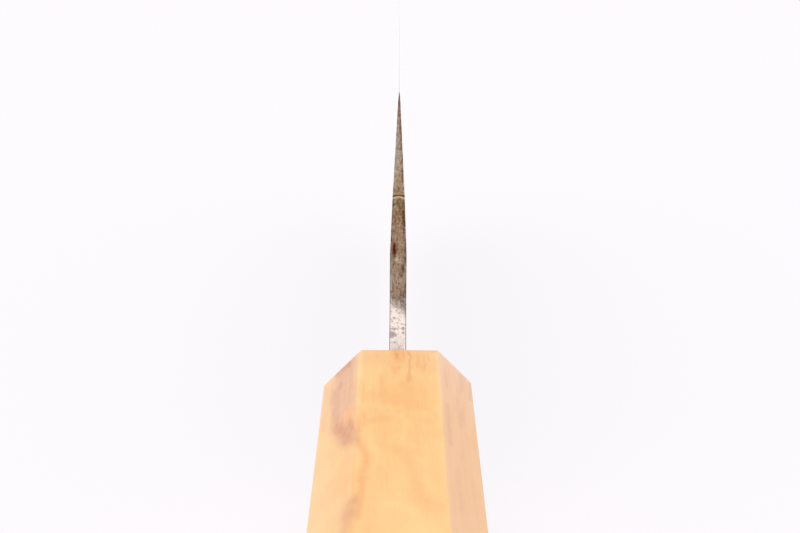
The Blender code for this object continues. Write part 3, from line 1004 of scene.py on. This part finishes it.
def oiled_burr_wood(node):
    """Figured fruitwood or yew burr, planed, sanded and oiled: warm honey, silky, fibres along the handle."""
    warp = node("TexNoise", millimetres(node, (0.03, 0.1, 0.1)), Scale=1.0, Detail=2.0)
    pith = millimetres(node, (1, 1, 1), (0.0, 2.5, 5.5))
    pushed = node("VectorMath", warp.outputs["Color"], (0.0, 4.0, 4.0), pith, operation="MULTIPLY_ADD")
    # Growth rings 2.6 mm apart round a pith below the handle
    ring_kind = {"wave_type": "RINGS", "rings_direction": "X"}
    rings = node("TexWave", pushed, Scale=0.12, Distortion=1.4, Detail=2.0, **ring_kind)
    # Bundles of fibres are 0.15 mm across and some 8 mm long, drawn at 0.3 mm so that they show
    fibre = node("TexNoise", millimetres(node, (0.12, 3.2, 3.2)), Scale=1.0, Detail=3.0, Roughness=0.6)
    cloud_place = millimetres(node, (0.12, 0.24, 0.24), (3.0, 0.0, 7.0))
    cloud = node("TexNoise", cloud_place, Scale=1.0, Detail=3.0, Roughness=0.5, Distortion=0.6)
    streak = node("TexNoise", millimetres(node, (0.02, 1.1, 1.1), (9.0, 2.0, 0.0)), Scale=1.0, Detail=3.0)
    # Open pores are dashes 0.1 mm wide and a millimetre long
    pores = node("TexNoise", millimetres(node, (0.8, 6.0, 6.0)), Scale=1.0, Detail=1.0)
    tone = weighed_sum(node, (cloud, 0.75), (rings, 0.07), (fibre, 0.12), (streak, 0.1))
    stops = ((0.3, "FFD289"), (0.5, "FECB7E"), (0.66, "FDC173"), (0.85, "FAB467"))
    honey = node("ValToRGB", tone, stops=stops)
    pink = node("ValToRGB", streak, stops=((0.35, "F4BD97"), (0.65, "EAB28D")))
    along = node("SeparateXYZ", millimetres(node))
    # Colour of the right chamfer: pink wood with painted shade, paler towards the front
    far_share = node("MapRange", along, 10.0, 62.0)
    pink_and_shade_base = node("ValToRGB", far_share, stops=((0.0, "FCC48F"), (0.55, "FCC48E"), (1.0, "FECDA8")))
    pink_and_shade_colour = lay_over(node, pink_and_shade_base, (streak, 0.45, 0.65, 0.3, "EFB789"))
    break_up = node("TexNoise", millimetres(node, (0.45, 1.2, 1.2)), Scale=1.0, Detail=3.0)
    broken = node("MapRange", break_up, 0.3, 0.7, 0.8, 1.15, interpolation_type="SMOOTHSTEP")
    figure = {}
    for name in FIGURE_NAMES:
        value = node("Attribute", attribute_name=name).outputs["Fac"]
        figure[name] = node("Math", value, broken, operation="MULTIPLY")
    colour = lay_over(
        node,
        honey,
        (along, 34.0, 0.0, 0.4, "FFD792"),
        (along, 52.0, 66.0, 0.4, "FCCB9E"),
        (pores, 0.64, 0.76, 0.15, "E0A263"),
        # Paler sapwood with painted light on the left chamfer
        (figure["sapwood_and_light"], 0.0, 1.0, 0.5, "FFD3A0"),
        (figure["pink_heart"], 0.0, 1.0, 0.9, pink),
        # Pink wood with painted shade on the right chamfer
        (figure["pink_side"], 0.0, 1.0, 0.9, pink_and_shade_colour),
        (figure["orange_vein"], 0.0, 1.05, 0.95, "FBB36A"),
        (figure["purple_heart"], 0.0, 1.05, 0.95, "D6946A"),
        (figure["dark_eye"], 0.0, 1.0, 0.9, "CC7426"),
        # Pale wear with a painted highlight on the ridges and the front rim
        (figure["worn_and_highlit"], 0.0, 1.0, 0.4, "FFDDAC"),
    )
    sheen = node("MapRange", fibre, 0.2, 0.8, 0.36, 0.48)
    normal = node("Bump", Height=fibre, Distance=0.012 * MM, Strength=0.5)
    dulled = {"Roughness": sheen, "Specular_IOR_Level": 0.4}
    return node("BsdfPrincipled", Base_Color=colour, Normal=normal, **dulled)


def cured_epoxy(node):
    """Cast epoxy tinted brown: dark, glassy and a little uneven where it skinned over."""
    cloud = node("TexNoise", millimetres(node), Scale=0.8, Detail=3.0)
    colour = node("ValToRGB", cloud, stops=((0.35, "4A3020"), (0.7, "7A5635")))
    skin = node("TexNoise", millimetres(node), Scale=1.6)
    normal = node("Bump", Height=skin, Distance=0.03 * MM, Strength=0.6)
    return node("BsdfPrincipled", Base_Color=colour, Roughness=0.22, IOR=1.55, Normal=normal)


def forge_skin_steel(node):
    """Carbon steel left with its black forge scale: matt, brown-black, pitted, rubbed bright in places."""
    place = millimetres(node)
    blotch = node("TexNoise", place, Scale=0.16, Detail=5.0, Roughness=0.6)
    grain = node("TexNoise", place, Scale=2.2, Detail=4.0, Roughness=0.65)
    pits = node("TexNoise", place, Scale=1.1, Detail=3.0, Roughness=0.7)
    scale = node("ValToRGB", blotch, stops=((0.3, "2B2523"), (0.5, "3E3633"), (0.68, "564C48")))
    bright_steel = weighed_sum(node, (grain, 1.0), (blotch, 0.5))
    colour = lay_over(node, scale, (bright_steel, 0.86, 1.02, 0.45, "8A8079"), (pits, 0.58, 0.7, 0.5, "241A17"))
    height = weighed_sum(node, (grain, 0.5), (pits, -0.6))
    normal = node("Bump", Height=height, Distance=0.06 * MM, Strength=0.8)
    roughness = node("MapRange", grain, 0.3, 0.7, 0.38, 0.56)
    return node("BsdfPrincipled", Base_Color=colour, Metallic=1.0, Roughness=roughness, Normal=normal)


def ground_satin_steel(node):
    """Carbon steel ground along the blade and kept in use: silver satin with a thin brown and grey patina.

    A clear film of oil over it mirrors the room where the blade is seen edge on.
    """
    place = millimetres(node)
    # Grinding lines are 0.1 mm apart and tens of millimetres long, and drawn at 0.25 mm so that they show
    lines = node("TexNoise", millimetres(node, (0.03, 1.0, 4.0)), Scale=1.0, Detail=3.0, Roughness=0.6)
    film_place = millimetres(node, (0.05, 0.09, 0.09))
    film = node("TexNoise", film_place, Scale=1.0, Detail=4.0, Roughness=0.6, Distortion=0.8)
    stain = node("TexNoise", place, Scale=0.12, Detail=5.0, Roughness=0.65, Distortion=0.5)
    patina = node("ValToRGB", film, stops=((0.3, "C3BBB3"), (0.5, "CDC9C4"), (0.68, "B9B8B8")))
    colour = lay_over(node, patina, (stain, 0.55, 0.72, 0.3, "96867A"), (lines, 0.45, 0.75, 0.2, "8F8A86"))
    roughness = node("MapRange", lines, 0.25, 0.75, 0.2, 0.32)
    normal = node("Bump", Height=lines, Distance=0.004 * MM, Strength=0.6)
    oiled = {"Metallic": 1.0, "Coat_Weight": 1.0}
    return node("BsdfPrincipled", Base_Color=colour, Roughness=roughness, Normal=normal, **oiled)


def honed_edge_steel(node):
    """Edge bevel off a fine stone, oiled: the brightest steel, duller at the heel, with faint marks."""
    lines = node("TexNoise", millimetres(node, (2.4, 1.0, 2.0)), Scale=1.0)
    polished = node("ValToRGB", lines, stops=((0.3, "EFECE9"), (0.7, "FAF8F6")))
    along = node("SeparateXYZ", millimetres(node))
    colour = lay_over(node, polished, (along, HEEL_X + 80, HEEL_X - 10, 0.8, "A7A29D"))
    roughness = node("MapRange", lines, 0.3, 0.7, 0.12, 0.2)
    return node("BsdfPrincipled", Base_Color=colour, Metallic=1.0, Roughness=roughness, Coat_Weight=1.0)


def brushed_spine_steel(node):
    """Spine filed and brushed after forging: grey steel with short marks across it and a brown film."""
    lines = node("TexNoise", millimetres(node, (3.0, 0.25, 1.0)), Scale=1.0, Detail=3.0, Roughness=0.6)
    film = node("TexNoise", millimetres(node), Scale=0.2, Detail=4.0, Roughness=0.6)
    bare = node("ValToRGB", film, stops=((0.35, "8E857E"), (0.65, "ACA59E")))
    colour = lay_over(node, bare, (lines, 0.5, 0.75, 0.3, "5F534C"))
    roughness = node("MapRange", lines, 0.3, 0.7, 0.3, 0.42)
    normal = node("Bump", Height=lines, Distance=0.01 * MM, Strength=0.5)
    return node("BsdfPrincipled", Base_Color=colour, Metallic=1.0, Roughness=roughness, Normal=normal)


# Marks of the heel face and choil: strength, then y and z of the centre and of the radii
MARK_CORE = 0.45
MARK_REACH = 1.5
RUST_MARKS = (
    (0.95, 0.54, 30.0, 0.26, 0.9),
    (0.9, 0.5, 29.5, 0.31, 0.65),
    (0.4, 0.6, 28.6, 0.16, 1.1),
)
SMEAR_MARKS = (
    (0.8, -0.8, 34.2, 0.45, 2.9),
    (0.45, -0.95, 29.6, 0.35, 3.0),
    (0.7, -0.6, 27.1, 0.42, 1.0),
    (0.8, -0.45, 26.2, 0.25, 0.4),
    (0.55, -1.0, 24.6, 0.22, 2.4),
    (0.6, 0.74, 36.0, 0.2, 0.8),
    (0.4, 0.9, 31.5, 0.18, 3.5),
    (0.5, -0.1, 37.9, 0.3, 0.4),
    (0.6, -0.46, 40.6, 0.2, 3.0),
    (0.6, -0.3, 44.6, 0.16, 3.0),
    (0.2, 0.0, 48.4, 0.12, 1.0),
    (0.35, 0.55, 29.8, 0.5, 1.4),
    (0.7, -0.16, 46.3, 0.16, 1.5),
    (0.35, -0.5, 23.6, 0.5, 0.6),
)
PALE_MARKS = (
    (0.9, 0.0, 28.3, 0.6, 0.75),
    (0.6, -0.4, 25.7, 0.45, 0.3),
    (0.3, 0.55, 35.6, 0.35, 1.4),
    (0.3, -0.2, 30.9, 0.4, 0.4),
    (0.5, 0.1, 32.6, 0.6, 0.15),
    (0.4, 0.9, 25.6, 0.3, 1.8),
    (0.5, 0.1, 23.8, 0.6, 0.5),
    (0.5, -0.95, 27.4, 0.2, 0.6),
)
PIT_MARKS = (
    (0.6, 0.8, 18.7, 0.62, 0.55),
    (0.6, 0.3, 18.65, 0.2, 0.3),
    (0.55, 0.5, 19.35, 0.8, 0.17),
    (0.7, -0.7, 19.4, 0.28, 0.24),
    (0.7, -0.72, 18.9, 0.24, 0.14),
    (0.55, 0.42, 20.6, 0.2, 0.2),
    (0.5, -0.2, 21.2, 0.18, 0.16),
    (0.5, 0.2, 21.5, 0.2, 0.1),
    (0.45, 0.1, 20.0, 0.24, 0.12),
    (0.45, 0.75, 20.2, 0.16, 0.16),
    (0.3, 0.5, 17.9, 0.4, 0.14),
    (0.3, -0.2, 17.5, 0.2, 0.1),
)

# Heights on the heel: the dark band between the score lines, a third line, faint and without depth, the foot
# of the film's colours, and the upper end of the rubbed steel, brightened by a painted reflection of the
# light above, with its soft border
BETWEEN_SCORES = sum(SCORE_HEIGHTS) / 2 + 0.05
FAINT_SCORE = 33.0
FILM_FROM_Z = 22.0
BRIGHT_BELOW = 22.0
BRIGHT_BLEND = 1.5


def off_level(node, height, level):
    """How far a height lies from a level, either way."""
    return node("Math", weighed_sum(node, (height, 1.0), (1.0, -level)), operation="ABSOLUTE")


def heel_patina(node, place, side, height, grain, pits):
    """Brown-grey film of the heel face, which changes with height, with rust, smears and the score lines.

    The film is patina darkened in part by painted shade, and the score lines have painted highlights.
    """
    # File marks are 0.15 mm apart, drawn at 0.3 mm so that they show
    files = node("TexNoise", millimetres(node, (1.0, 0.6, 3.4)), Scale=1.0, Detail=4.0, Roughness=0.65)
    level = node("MapRange", height, FILM_FROM_Z, HEEL_EDGE_Z)
    stops = (
        (0.0, "C0BAB2"),
        (0.1, "C6C4C0"),
        (0.22, "AAA297"),
        (0.4, "9C8976"),
        (0.45, "8E7A56"),
        (0.5, "867553"),
        (0.54, "A8997F"),
        (0.6, "B9AD99"),
        (0.72, "B8B0A5"),
        (0.88, "AD978C"),
        (0.95, "855C54"),
        (1.0, "6A5654"),
    )
    film = node("ValToRGB", level, stops=stops)
    patchy = weighed_sum(node, (grain, 2.4), (1.0, -0.3))
    smeared = node("Math", soft_marks(node, place, SMEAR_MARKS), patchy, operation="MULTIPLY")
    speckled = weighed_sum(node, (pits, 7.0), (1.0, -3.0))
    pale = node("Math", soft_marks(node, place, PALE_MARKS), speckled, operation="MULTIPLY")
    bowing = node("Math", side, side, operation="MULTIPLY")
    unbowed = weighed_sum(node, (height, 1.0), (bowing, SCORE_ARCHES[1] / ARCH_HALF_WIDTH**2))
    colour = lay_over(
        node,
        film,
        (grain, 0.46, 0.68, 0.8, "67493C"),
        (grain, 0.5, 0.34, 0.45, "D8CFC4"),
        (weighed_sum(node, (pits, 1.0), (height, -0.03)), -0.25, -0.13, 0.6, "5E4C44"),
        (files, 0.52, 0.72, 0.4, "DCD0C2"),
        (files, 0.48, 0.3, 0.3, "735E4E"),
        (pale, 0.0, 1.0, 1.0, "CAD6C8"),
        (smeared, 0.0, 1.0, 1.0, "5A3826"),
        (soft_marks(node, place, RUST_MARKS), 0.0, 1.0, 1.0, "5B200C"),
        (off_level(node, unbowed, FAINT_SCORE), 0.12, 0.04, 0.28, "D8CDB8"),
        (off_level(node, unbowed, BETWEEN_SCORES), 0.22, 0.09, 0.7, "5E3626"),
        # Painted highlights along the two score lines, over their real grooves
        (off_level(node, height, SCORE_HEIGHTS[0]), 0.12, 0.05, 0.65, "D5B0A2"),
        (off_level(node, unbowed, SCORE_HEIGHTS[1]), 0.12, 0.05, 0.75, "EFDCC0"),
    )
    return colour, files


def heel_steel_patina_and_painted_light(node):
    """Heel face, choil and neck of carbon steel, filed across: brown patina above, rubbed bright below.

    The patina's darkness is partly painted shade, and the rubbed steel's brightness partly a painted
    reflection of the light above.
    """
    place = millimetres(node)
    axes = node("SeparateXYZ", place)
    side, height = axes.outputs["Y"], axes.outputs["Z"]
    grain = node("TexNoise", millimetres(node, (1.0, 3.6, 1.6)), Scale=1.0, Detail=4.0, Roughness=0.7)
    pits = node("TexNoise", place, Scale=2.8, Detail=4.0, Roughness=0.7)
    # Patina of the heel face, darkened in part by painted shade
    patina, files = heel_patina(node, place, side, height, grain, pits)
    # Rubbed steel of the neck and choil, brightened by a painted reflection of the light above
    bright_steel = lay_over(
        node,
        "FFF5E8",
        (pits, 0.48, 0.66, 0.62, "C4A190"),
        (pits, 0.6, 0.7, 0.7, "94777C"),
        (soft_marks(node, place, PIT_MARKS), 0.0, 1.0, 1.0, "8A6E78"),
    )
    slanted = weighed_sum(node, (height, 1.0), (side, -0.8), (grain, 1.8))
    colour = lay_over(
        node,
        patina,
        (slanted, BRIGHT_BELOW + BRIGHT_BLEND, BRIGHT_BELOW, 1.0, bright_steel),
        # Darker at both rims of the heel face: painted shade on its eased corners
        (node("Math", side, operation="ABSOLUTE"), 0.95, 1.08, 0.85, "4A3532"),
    )
    relief = weighed_sum(node, (files, 1.0), (grain, 0.6))
    normal = node("Bump", Height=relief, Distance=0.012 * MM, Strength=0.6)
    roughness = node("MapRange", slanted, BRIGHT_BELOW, BRIGHT_BELOW + BRIGHT_BLEND, 0.4, 0.36)
    return node("BsdfPrincipled", Base_Color=colour, Metallic=1.0, Roughness=roughness, Normal=normal)


# Room

BACKGROUND = "FEFBFF"
FLOOR_SIZE = 8.0
SHADOW_SHARE = 0.15
ROOM_LIGHT = 0.72
LAMP_LIGHT = 0.95
LAMP_SPREAD = math.radians(110)
LAMP_LEAN = math.radians(-14)


def seen_directly(node):
    """1 for rays from the camera, a mirror or glass, and 0 for the light that falls on the object."""
    path = node("LightPath").outputs
    seen = node("Math", path["Is Camera Ray"], path["Is Glossy Ray"], operation="MAXIMUM")
    return node("Math", seen, path["Is Transmission Ray"], operation="MAXIMUM")


def pale_paper_floor(node):
    """Matt paper in the background's own colour, which shows only a soft share of the shadow."""
    glowing = node("Math", seen_directly(node), 1 - SHADOW_SHARE, operation="MULTIPLY")
    return node("MixShader", glowing, node("BsdfDiffuse", BACKGROUND), node("Emission", BACKGROUND, 1.0))


def make_floor():
    """Plain floor under the knife."""
    half = FLOOR_SIZE / 2
    corners = [(-half, -half, 0), (half, -half, 0), (half, half, 0), (-half, half, 0)]
    mesh = bpy.data.meshes.new("floor")
    mesh.from_pydata(corners, [], [(0, 1, 2, 3)])
    floor = bpy.data.objects.new("floor", mesh)
    bpy.context.scene.collection.objects.link(floor)
    add_material(mesh, pale_paper_floor)


def pale_room(node):
    """Light at a plain level, and the background's colour where the room is seen or mirrored."""
    light = node("Background", "FFFFFF", ROOM_LIGHT)
    return node("MixShader", seen_directly(node), light, node("Background", BACKGROUND, 1.0))


def make_world():
    world = bpy.data.worlds.new("pale_room")
    bpy.context.scene.world = world
    fill_nodes(world, "OutputWorld", pale_room)


def make_lamp():
    """One very wide soft light from above and a little to the left, level over the whole floor."""
    lamp = bpy.data.lights.new("soft_top_light", "SUN")
    lamp.energy = LAMP_LIGHT
    lamp.angle = LAMP_SPREAD
    placed = bpy.data.objects.new("soft_top_light", lamp)
    bpy.context.scene.collection.objects.link(placed)
    placed.rotation_euler = (LAMP_LEAN, 0.0, 0.0)
    placed.visible_glossy = False


def make_camera():
    """Camera at the photograph's place, turned to its axes."""
    right, up, forward = camera_axes()
    data = bpy.data.cameras.new("photo_view")
    data.sensor_fit = "HORIZONTAL"
    data.sensor_width = SENSOR_WIDTH
    data.lens = FOCAL_PIXELS * SENSOR_WIDTH / PHOTO_WIDTH
    data.clip_start = NEAREST_SEEN
    camera = bpy.data.objects.new("photo_view", data)
    bpy.context.scene.collection.objects.link(camera)
    placed = Matrix((right, up, -forward)).transposed().to_4x4()
    placed.translation = [value * MM for value in CAMERA_PLACE]
    camera.matrix_world = placed
    bpy.context.scene.camera = camera


bpy.context.scene.view_settings.view_transform = "Standard"
make_camera()
make_floor()
make_world()
make_lamp()
make_handle()
make_bedding()
make_blade()
